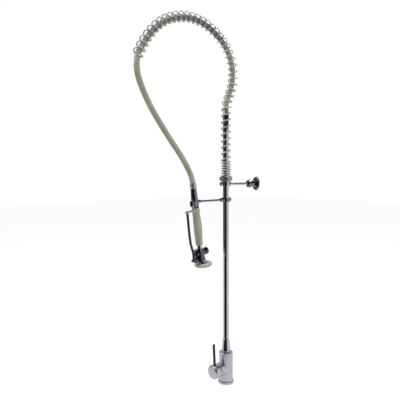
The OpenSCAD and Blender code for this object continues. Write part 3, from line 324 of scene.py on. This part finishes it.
def build_from_nodes(name, mesh, tree, **inputs):
    """Runs a node tree on a mesh and gives the result as a plain object."""
    source = into_scene(name + "_source", mesh)
    modifier = source.modifiers.new("nodes", "NODES")
    modifier.node_group = tree
    for label, value in inputs.items():
        modifier[tree.interface.items_tree[label].identifier] = value
    evaluated = source.evaluated_get(bpy.context.evaluated_depsgraph_get())
    made = into_scene(name, bpy.data.meshes.new_from_object(evaluated))
    bpy.data.objects.remove(source)
    return made


def swept(name, line, radius, sides, material):
    """A hose, wire or bar of round section that follows a line of points."""
    mesh = bpy.data.meshes.new(name + "_line")
    mesh.from_pydata([tuple(p) for p in line], [(i, i + 1) for i in range(len(line) - 1)], [])
    return build_from_nodes(name, mesh, SWEEP, Radius=radius, Sides=sides, Material=material)


SWEEP = sweep_tree()
hose_line = smooth_route(HOSE_ROUTE)
hose_lengths = lengths_along(hose_line)
hose_split = hose_lengths[HOSE_SPLIT * CURVE_STEPS]
# The share of HOSE_OFFSET that the hose takes, by the length from the riser's nipple
offset_table = [(0, 0), (0.075, 0), (0.105, 1), (hose_split - 0.130, 1), (hose_split - COIL_MARGIN, 0),
    (hose_lengths[-1], 0)]


def hose_points(start, end):
    """Points along the hose's centre, moved to the arch's inner side where the coil holds it."""
    count = round((end - start) / HOSE_STEP)
    points = []
    for i in range(count + 1):
        s = start + (end - start) * i / count
        side = direction_at(hose_line, hose_lengths, s).cross(Vector((1, 0, 0)))
        points.append(point_at(hose_line, hose_lengths, s) - side * HOSE_OFFSET * between(s, offset_table))
    return points


held_points = hose_points(0, hose_split)
held_hose = swept("held_hose", held_points, HOSE_RADIUS, HOSE_SIDES,
    extruded_vinyl("vinyl_hose_in_coil", hose_split - COIL_MARGIN))
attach(held_hose, "faucet")
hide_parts("hose_in_spring")

free_points = hose_points(hose_split, hose_lengths[-1])
free_hose = swept("free_hose", free_points, HOSE_RADIUS, HOSE_SIDES, extruded_vinyl("vinyl_hose"))
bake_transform(free_hose)
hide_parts("hose_free")


# ------------------------------------------------------------------------------------ Mixer body
# The mixer: a cast brass body on a trim ring, with a side housing for the ceramic cartridge. The
# casting is belt polished and chrome plated, and screwed down through the deck over a gasket.
SATIN_CHROME = "#BDBBC6"
SATIN_CHROME_SHADE = "#A9A7B3"
SEAL_RUBBER = "#26262A"
SEAL_SHADE = "#1C1C1F"


def polished_casting():
    """Chrome on polished cast brass: broad, hazy reflections that change over some 20 mm, and fine
    lines round the body from the polishing belt, drawn about 0.6 mm apart so that they show."""
    material, tree, shader = begin_material("chrome_on_cast_brass", 1.0)
    place = object_place(tree)
    cloud = noise(tree, place, 60, 4, 0.6)
    stretched = add_node(tree, "ShaderNodeMapping", {"Scale": (60.0, 60.0, 1600.0)}, {"Vector": place})
    belt_lines = noise(tree, stretched.outputs[0], 1, 2)
    dress(tree, shader, mix_colours(tree, cloud, SATIN_CHROME, SATIN_CHROME_SHADE),
        roughness=mapped(tree, cloud, 0.3, 0.7, to_low=0.26, to_high=0.36),
        height=belt_lines, strength=0.12, depth=0.0001)
    return material


def moulded(name, tone, shade, roughness):
    """Moulded rubber, vinyl or plastic, or a pressed ceramic: a fine grain from the mould, about
    0.6 mm, and rubbed marks some 20 mm across that are paler and smoother."""
    material, tree, shader = begin_material(name, 0.0)
    place = object_place(tree)
    grain = noise(tree, place, 1600, 2)
    other_look = noise(tree, place, 55, 5, 0.65)
    dress(tree, shader, mix_colours(tree, mapped(tree, other_look, 0.35, 0.65), shade, tone),
        roughness=mapped(tree, other_look, 0, 1, to_low=roughness + 0.1, to_high=roughness - 0.1),
        height=grain, strength=0.3, depth=0.0002)
    return material


def finish(material, *nodes):
    """Gives CAD nodes their finish."""
    for name in nodes:
        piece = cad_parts[name]
        piece.data.materials.clear()
        piece.data.materials.append(material)


casting_chrome = polished_casting()
seal_rubber = moulded("nitrile_rubber_seal", SEAL_RUBBER, SEAL_SHADE, 0.6)
finish(casting_chrome, "mixer_body", "foot_ring")
finish(seal_rubber, "foot_gasket")


# -------------------------------------------------------------------------- Cartridge and lever
# A ceramic-disc cartridge, held in the housing by a domed nut. Its brass stem carries the lever: a
# chromed cap that tilts over the dome, and a chromed pin that stands in the cap's rim, its chrome
# painted near black in place of the dark floor that it reflects.
# Each finish has its tone and its shade; those of metal also have their least and most roughness
BRIGHT = ("#B4B7BD", "#A2A5AC", 0.05, 0.16)
# Painted reflection: the pin's near-black tone stands in for the dark floor that its chrome reflects
PIN_PAINTED_BLACK_TONES = ("#3A3A42", "#2B2B32", 0.12, 0.25)
BRASS = ("#B08D4A", "#9C7A3C", 0.2, 0.35)
BLACK_STEEL = ("#2E2E33", "#222226", 0.3, 0.45)
CERAMIC = ("#E9E6DE", "#DDD9CF")
BLACK_PLASTIC = ("#2A2B2E", "#212225")


def drawn_chrome(name, tone, shade, low, high):
    """Chrome or bare metal on a drawn or turned bar, with a faint grain of about 1 mm and a few
    duller patches from handling, some 20 mm across. The two last values are its roughness."""
    material, tree, shader = begin_material(name, 1.0)
    place = object_place(tree)
    patches = noise(tree, place, 50, 5, 0.6)
    dress(tree, shader, mix_colours(tree, patches, tone, shade),
        roughness=mapped(tree, patches, 0.35, 0.7, to_low=low, to_high=high),
        height=noise(tree, place, 900, 2), strength=0.06, depth=0.0001)
    return material


bright_chrome = drawn_chrome("chrome_on_drawn_brass", *BRIGHT)
# Painted reflection: the pin's chrome is made near black for the dark floor it reflects
pin_painted_black = drawn_chrome("chrome_pin_painted_black_reflection", *PIN_PAINTED_BLACK_TONES)
bare_brass = drawn_chrome("turned_brass", *BRASS)
black_steel = drawn_chrome("blackened_steel_screw", *BLACK_STEEL)
disc_ceramic = moulded("sintered_alumina_disc", *CERAMIC, 0.2)
black_plastic = moulded("moulded_acetal", *BLACK_PLASTIC, 0.42)
finish(casting_chrome, "lever_cap", "cartridge_nut")
finish(pin_painted_black, "pin_lever")
finish(black_plastic, "cartridge_shell", "mix_collar")
finish(seal_rubber, "cartridge_seals")
finish(disc_ceramic, "fixed_disc", "moving_disc")
finish(bare_brass, "stem")
finish(bright_chrome, "stem_pin")
finish(black_steel, "cap_screw", "housing_screw")


# ----------------------------------------------------------------------------- Riser and union
# A chromed brass tube, flanged at its foot and drawn down on a seal by a tapered union nut. A barbed
# nipple soldered in its top takes the hose.
finish(bright_chrome, "riser_pipe", "union_nut", "hose_nipple")
finish(seal_rubber, "union_seal")


# --------------------------------------------------------------------------- Collar and spring
# A turned collar, fixed on the riser with a grub screw, carries the support spring: one round steel
# wire, 4.2 mm thick, coiled in close turns on the collar and in open turns over the arch.
WIRE_RADIUS = 0.0021
COIL_RADIUS = 0.0139
COLLAR_FLOOR = 0.651
CLOSE_PITCH = 0.0078
CLOSE_TURNS = 6.5
OPEN_PITCH = 0.0194
POINTS_PER_TURN = 28
WIRE_SIDES = 12
SATIN_COLLAR = ("#A6AAA8", "#8F9492", 0.36, 0.48)
WIRE_TONE = "#E6E6E5"
WIRE_SHADE = "#C8C8C7"
COIL_STRAIGHT = 0.800
SPRING_ROUTE = [(0, COLLAR_FLOOR), (0, (COLLAR_FLOOR + COIL_STRAIGHT) / 2), (0, COIL_STRAIGHT),
    (0.0005, 0.836), (0.0012, 0.861), (0.0032, 0.879), (0.0086, 0.895), (0.015, 0.910), (0.0226, 0.928),
    *ARCH[:-1], (-0.3280, 0.971)]


def drawn_wire():
    """Drawn stainless spring wire: bright but matt, with die lines along the wire that change its
    tone and its gloss."""
    material, tree, shader = begin_material("drawn_stainless_wire", 1.0)
    # Die lines: 16 round the wire, each some 10 mm long
    die_lines = lines_along(tree, 16, 100)
    dress(tree, shader, mix_colours(tree, die_lines, WIRE_TONE, WIRE_SHADE),
        roughness=mapped(tree, die_lines, 0, 1, to_low=0.56, to_high=0.7),
        height=die_lines, strength=0.15, depth=0.0001)
    return material


spring_line = smooth_route(SPRING_ROUTE)
spring_lengths = lengths_along(spring_line)
# The wire's middle starts three of its radii above the collar's floor
coil_start = 3 * WIRE_RADIUS
close_length = CLOSE_PITCH * CLOSE_TURNS
open_turns = math.floor(2 * (spring_lengths[-1] - coil_start - close_length) / OPEN_PITCH) / 2
turn_table = [(0, coil_start), (CLOSE_TURNS, coil_start + close_length),
    (CLOSE_TURNS + open_turns, coil_start + close_length + open_turns * OPEN_PITCH)]


def wire_centre(turn):
    """The middle of the wire at a turn, counted from the collar, where it starts on the +X side."""
    s = between(turn, turn_table)
    out = direction_at(spring_line, spring_lengths, s).cross(Vector((1, 0, 0)))
    angle = math.radians(90 - 360 * turn)
    return (point_at(spring_line, spring_lengths, s)
        + COIL_RADIUS * (math.cos(angle) * out + math.sin(angle) * Vector((1, 0, 0))))


wire_count = round((CLOSE_TURNS + open_turns) * POINTS_PER_TURN)
wire_line = [wire_centre(i / POINTS_PER_TURN) for i in range(wire_count + 1)]
wire_end = wire_line[-1] + (wire_line[-1] - wire_line[-2]).normalized() * 2 * WIRE_RADIUS
wire_foot = Vector((wire_line[0].x, wire_line[0].y, COLLAR_FLOOR))
spring_wire = drawn_wire()
spring = swept("support_spring", [wire_foot, *wire_line, wire_end], WIRE_RADIUS, WIRE_SIDES, spring_wire)
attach(spring, "faucet")
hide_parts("spring")
finish(drawn_chrome("satin_chromed_collar", *SATIN_COLLAR), "spring_collar")
finish(black_steel, "collar_screw")


# -------------------------------------------------------------------------------- Hose sleeves
# A ferrule of chromed brass is crimped on each end of the hose, one on the riser's nipple and one
# above the gun's swivel nut.
SATIN_SLEEVE = ("#D6D5D9", "#BCBBC1", 0.44, 0.56)
finish(drawn_chrome("satin_crimped_sleeve", *SATIN_SLEEVE), "riser_sleeve", "gun_sleeve")


# ----------------------------------------------------------------------------------- Wall stay
# A clamp band on the riser, lined with plastic and tightened by a screw, holds a rod that runs back
# to a round flange on the wall. A turned nut grips the rod in the flange's hub.
# Painted reflection: a darker copy of the bright chrome, its tone standing in for the dark surroundings that
# the nut, flange, hook and swivel nut reflect
CHROME_PAINTED_DARKER_TONES = ("#80808A", "#6A6A73", 0.06, 0.18)
chrome_painted_darker = drawn_chrome("chrome_on_brass_painted_dark_reflection", *CHROME_PAINTED_DARKER_TONES)
finish(bright_chrome, "stay_clamp", "stay_clamp_screw", "stay_rod")
finish(chrome_painted_darker, "stay_nut", "wall_flange")
finish(black_plastic, "stay_liner")


# ------------------------------------------------------------------------------------ Hook arm
# A second clamp band carries the hook arm towards the user: a round rod, brazed to an open fork in
# which the gun hangs by its neck.
finish(bright_chrome, "hook_clamp_screw")
# Painted reflection: the clamp, arm and fork take the darker chrome, whose tone stands in for the dark
# surroundings they reflect
finish(chrome_painted_darker, "hook_clamp", "hook_arm", "hook_fork")


# -------------------------------------------------------------------------- Gun: neck and grip
# The gun's brass neck turns in a swivel nut on the hose. Below it a moulded vinyl grip is pushed on
# the water tube, swelling at the back to fill the palm.
GRIP_VINYL = ("#A09F90", "#929182")
BENT_WIRE = ("#DEDEE2", "#CACAD0", 0.46, 0.58)
GRIP_TOP = -0.012
GRIP_LENGTH = 0.113
GRIP_WIDTH = 0.0235
# Shares of the grip's width: how wide its foot is, and how much its top flares
GRIP_FOOT_SHARE = 0.87
GRIP_TOP_FLARE = 0.08
PALM_SWELL = 0.003
# The grip's bulge ends below its top, and the palm's swell at its top
BULGE_REACH = 1.15
SWELL_REACH = 0.95
GRIP_ROUND_END = 0.0016
PARTING_HEIGHT = 0.0002
PARTING_ANGLE = 0.06
GRIP_BORE = 0.0081
GRIP_RINGS = 60
GRIP_SIDES = 64


def grip_section(t):
    """Half-width and depth at the back of the grip at a height from 0 (foot) to 1 (top)."""
    bulge = (1 - GRIP_FOOT_SHARE) * math.sin(math.pi * min(1, t * BULGE_REACH))
    half = GRIP_WIDTH / 2 * (GRIP_FOOT_SHARE + bulge + GRIP_TOP_FLARE * t ** 6)
    return half, half + PALM_SWELL * math.sin(math.pi * min(1, t * SWELL_REACH)) ** 2


def placed(name, verts, faces, frame_matrix, material, body, slot, nodes):
    """Makes a piece in its own frame, puts it in place and sets it on its body."""
    mesh = bpy.data.meshes.new(name)
    mesh.from_pydata([tuple(frame_matrix @ Vector(v)) for v in verts], [], faces)
    mesh.materials.append(material)
    mesh.shade_smooth()
    piece = into_scene(name, mesh)
    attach(piece, body)
    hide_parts(*nodes)


def loft_faces(rings, sides):
    """Quads between rings of points, the first ring joined to the last."""
    return [(i * sides + k, i * sides + (k + 1) % sides, (i + 1) % rings * sides + (k + 1) % sides,
        (i + 1) % rings * sides + k) for i in range(rings) for k in range(sides)]


def grip_skin():
    """The grip's outside from foot to top, with rounded ends and a fine parting line, then its bore."""
    rings = []
    for i in range(GRIP_RINGS + 1):
        t = 0.5 - 0.5 * math.cos(math.pi * (i / GRIP_RINGS))
        half, back = grip_section(t)
        from_end = min(min(t, 1 - t) * GRIP_LENGTH / GRIP_ROUND_END, 1)
        edge = GRIP_ROUND_END * (1 - math.sqrt(1 - (1 - from_end) ** 2))
        ring = []
        for k in range(GRIP_SIDES):
            a = 2 * math.pi * k / GRIP_SIDES
            line = PARTING_HEIGHT * math.exp(-(math.sin(a) / PARTING_ANGLE) ** 2)
            depth = back if math.sin(a) > 0 else half
            ring.append(((half - edge + line) * math.cos(a), (depth - edge) * math.sin(a),
                GRIP_TOP - GRIP_LENGTH * (1 - t)))
        rings.append(ring)
    for z in (GRIP_TOP, GRIP_TOP - GRIP_LENGTH):
        rings.append([(GRIP_BORE * math.cos(2 * math.pi * k / GRIP_SIDES),
            GRIP_BORE * math.sin(2 * math.pi * k / GRIP_SIDES), z) for k in range(GRIP_SIDES)])
    return [p for ring in rings for p in ring], loft_faces(len(rings), GRIP_SIDES)


grip_vinyl = moulded("moulded_vinyl_grip", *GRIP_VINYL, 0.45)
placed("grip", *grip_skin(), GUN_FRAME, grip_vinyl, "gun", "grip_vinyl", ["handle_grip"])
finish(bright_chrome, "gun_neck", "grip_tube")
# Painted reflection: the swivel nut takes the darker chrome in place of the dark surroundings it reflects
finish(chrome_painted_darker, "swivel_nut")
finish(drawn_chrome("satin_bent_wire", *BENT_WIRE), "bail")
finish(grip_vinyl, "bail_ring")
finish(seal_rubber, "swivel_washer")


# ------------------------------------------------------------------------------ Gun: the valve
# A chromed brass valve body with a cross barrel: the plunger and its spring go in from the back,
# under a screwed cap, and the trigger turns on a pin between two ears in front.
# Painted reflection: the valve's chrome is given a dark tone that stands in for the dark surroundings its
# bright chrome reflects
VALVE_PAINTED_DARK_TONES = ("#5C5C66", "#4A4A53", 0.06, 0.18)
valve_painted_dark = drawn_chrome("chrome_on_valve_painted_dark_reflection", *VALVE_PAINTED_DARK_TONES)
finish(valve_painted_dark, "valve_body", "back_cap", "trigger", "trigger_pin", "trigger_knob")
finish(bright_chrome, "valve_plunger")
finish(seal_rubber, "valve_seal")

# The return spring stands between the plunger's head and the back cap; in the valve it shortens as it opens,
# here it is one fixed coil set on the plunger's body
RETURN_RADIUS = 0.0046
RETURN_WIRE = 0.0006
RETURN_TURNS = 4
RETURN_STEPS = 24
RETURN_SIDES = 8
BARREL_Z = -0.148
PLUNGER_HEAD = 0.003
CAP_FLOOR = 0.0091


def return_spring_line():
    """The middle of the return spring's wire, from the plunger's head to the cap."""
    first, last = PLUNGER_HEAD + RETURN_WIRE, CAP_FLOOR - RETURN_WIRE
    count = RETURN_TURNS * RETURN_STEPS
    line = []
    for i in range(count + 1):
        a = 2 * math.pi * i / RETURN_STEPS
        line.append(GUN_FRAME @ Vector((RETURN_RADIUS * math.cos(a), first + (last - first) * i / count,
            BARREL_Z - RETURN_RADIUS * math.sin(a))))
    return line


return_spring = swept("return_spring", return_spring_line(), RETURN_WIRE, RETURN_SIDES, spring_wire)
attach(return_spring, "plunger")
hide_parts("valve_spring")
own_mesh(return_spring)


# -------------------------------------------------------------------------- Gun: spray head
# The spray neck ends in a perforated steel plate, held by one screw. A rubber ring is stretched over
# it, to save dishes and to close off the spray.
BUMPER_RUBBER = ("#ACAD9F", "#989A8C")
SPRAY_Y = 0.008
BUMPER_SIDES = 96
BUMPER_BORE = 0.0093
BUMPER_MIDDLE = 0.02175
BUMPER_Z = -0.1865
BUMPER_ROUND = 0.0055
# The web between the bore and the round, and the lip at the round's inner foot
WEB_TOP = -0.181
WEB_FOOT = -0.185
LIP_RADIUS = 0.0209
LIP_FOOT = -0.192


def bumper_profile():
    """The ring's section as radius and height: web, round from its top to its foot, lip."""
    turned = [math.radians(a) for a in range(75, -76, -10)]
    rounded = [(BUMPER_MIDDLE + BUMPER_ROUND * math.cos(a), BUMPER_Z + BUMPER_ROUND * math.sin(a))
        for a in turned]
    return [(BUMPER_BORE, WEB_FOOT), (BUMPER_BORE, WEB_TOP), *rounded, (LIP_RADIUS, LIP_FOOT),
        (LIP_RADIUS, WEB_FOOT)]


def bumper_skin():
    """The ring's section turned round the spray neck."""
    profile = bumper_profile()
    verts = []
    for k in range(BUMPER_SIDES):
        a = 2 * math.pi * k / BUMPER_SIDES
        verts += [(r * math.cos(a), SPRAY_Y + r * math.sin(a), z) for r, z in profile]
    return verts, loft_faces(BUMPER_SIDES, len(profile))


bumper_rubber = moulded("moulded_rubber_ring", *BUMPER_RUBBER, 0.5)
placed("bumper", *bumper_skin(), GUN_FRAME, bumper_rubber, "gun", "bumper_rubber", ["bumper_ring"])
finish(bright_chrome, "spray_neck", "spray_plate", "spray_screw")


# ----------------------------------------------------------------------- Floor and studio light
# A white studio floor and background, with a large soft lamp from the upper left, a weaker one from
# the right and one overhead. Dark screens round the faucet are seen only in the metal's reflections.
WHITE = (1, 1, 1, 1)
FLOOR_TONE = "#C8C8C6"
FLOOR_REACH = 8
# The share of its own white that the floor shows, and how bright that white is
FLOOR_GLOW_SHARE = 0.8
FLOOR_GLOW = 1.15
SKY_LIGHT = 0.42
SCREEN_STEPS = 48
NEAR_BLACK = "#2E2F37"
LAMP_AIM = Vector((0, -0.1, 0.6))


def cleared_tree(owner):
    """The node tree of a world or a material, emptied."""
    owner.use_nodes = True
    owner.node_tree.nodes.clear()
    return owner.node_tree


def white_for_camera(tree):
    """1 where the camera or a reflection looks, 0 where light only bounces."""
    rays = add_node(tree, "ShaderNodeLightPath").outputs
    seen = maths(tree, "MAXIMUM", rays["Is Camera Ray"], rays["Is Glossy Ray"])
    return maths(tree, "MAXIMUM", seen, rays["Is Transmission Ray"])


world = bpy.data.worlds.new("studio")
bpy.context.scene.world = world
sky = cleared_tree(world)
white = add_node(sky, "ShaderNodeBackground", {"Color": WHITE, "Strength": 1.0})
soft = add_node(sky, "ShaderNodeBackground", {"Color": WHITE, "Strength": SKY_LIGHT})
mixed = add_node(sky, "ShaderNodeMixShader",
    links={0: white_for_camera(sky), 1: soft.outputs[0], 2: white.outputs[0]})
add_node(sky, "ShaderNodeOutputWorld", links={"Surface": mixed.outputs[0]})

floor_corners = [(x * FLOOR_REACH, y * FLOOR_REACH, 0) for x, y in ((-1, -1), (1, -1), (1, 1), (-1, 1))]
floor_mesh = bpy.data.meshes.new("floor")
floor_mesh.from_pydata(floor_corners, [], [(0, 1, 2, 3)])
floor = into_scene("floor", floor_mesh)
floor_material = bpy.data.materials.new("matt_white_floor")
paint = cleared_tree(floor_material)
matt = add_node(paint, "ShaderNodeBsdfDiffuse", {"Color": linear(FLOOR_TONE)})
glow = add_node(paint, "ShaderNodeEmission", {"Color": WHITE, "Strength": FLOOR_GLOW})
share = maths(paint, "MULTIPLY", white_for_camera(paint), FLOOR_GLOW_SHARE)
lit = add_node(paint, "ShaderNodeMixShader", links={0: share, 1: matt.outputs[0], 2: glow.outputs[0]})
add_node(paint, "ShaderNodeOutputMaterial", links={"Surface": lit.outputs[0]})
floor_mesh.materials.append(floor_material)

camera_side = math.atan2(CAMERA_PLACE.y, CAMERA_PLACE.x)


def dark_screen(name, profile, middle, spread, tone):
    """A curved screen: its section as radius and height, and the middle and half of its arc."""
    verts = []
    for k in range(SCREEN_STEPS + 1):
        a = middle + spread * (2 * k / SCREEN_STEPS - 1)
        verts += [(r * math.cos(a), r * math.sin(a), z) for r, z in profile]
    faces = []
    for k in range(SCREEN_STEPS):
        for low in range(k * len(profile), (k + 1) * len(profile) - 1):
            high = low + len(profile)
            faces.append((low, high, high + 1, low + 1))
    mesh = bpy.data.meshes.new(name)
    mesh.from_pydata(verts, [], faces)
    cloth = bpy.data.materials.new(name + "_cloth")
    tree = cleared_tree(cloth)
    dim = add_node(tree, "ShaderNodeEmission", {"Color": linear(tone), "Strength": 1.0})
    add_node(tree, "ShaderNodeOutputMaterial", links={"Surface": dim.outputs[0]})
    mesh.materials.append(cloth)
    screen = into_scene(name, mesh)
    screen.visible_camera = False
    screen.visible_diffuse = False
    screen.visible_shadow = False
    screen.visible_transmission = False


dark_screen("front_screen", [(0.32, 0.002), (2.2, 0.002), (2.5, 0.3), (2.5, 2.0), (1.9, 2.8), (0.3, 3.1)],
    middle=camera_side - math.radians(18), spread=math.radians(50), tone=NEAR_BLACK)
dark_screen("left_screen", [(2.4, 0.002), (2.4, 1.5)],
    middle=camera_side - math.radians(111), spread=math.radians(43), tone="#7E7E85")
dark_screen("back_screen", [(2.4, 0.002), (2.4, 1.0)],
    middle=camera_side + math.pi, spread=math.radians(26), tone="#8E8E95")
dark_screen("right_screen", [(1.1, 0.9), (1.1, 1.75)],
    middle=math.radians(54), spread=math.radians(71), tone=NEAR_BLACK)
dark_screen("ceiling_screen", [(2.2, 2.8), (0.02, 3.05)], middle=0, spread=math.pi, tone="#24252B")


def soft_lamp(name, place, size, power, mirrored=True):
    """A square soft lamp, its power in watts, with or without its image in polished metal."""
    lamp = bpy.data.lights.new(name, "AREA")
    lamp.shape = "SQUARE"
    lamp.size = size
    lamp.energy = power
    holder = into_scene(name, lamp)
    holder.location = place
    holder.visible_glossy = mirrored
    holder.rotation_euler = (LAMP_AIM - Vector(place)).to_track_quat("-Z", "Y").to_euler()


soft_lamp("key_lamp", (-0.9, -2.3, 2.2), size=1.2, power=42)
soft_lamp("fill_lamp", (2.4, 0.5, 1.4), size=1.4, power=30, mirrored=False)
soft_lamp("top_lamp", (0.2, 0.2, 3.0), size=1.6, power=60)

bpy.context.scene.view_settings.view_transform = "Standard"
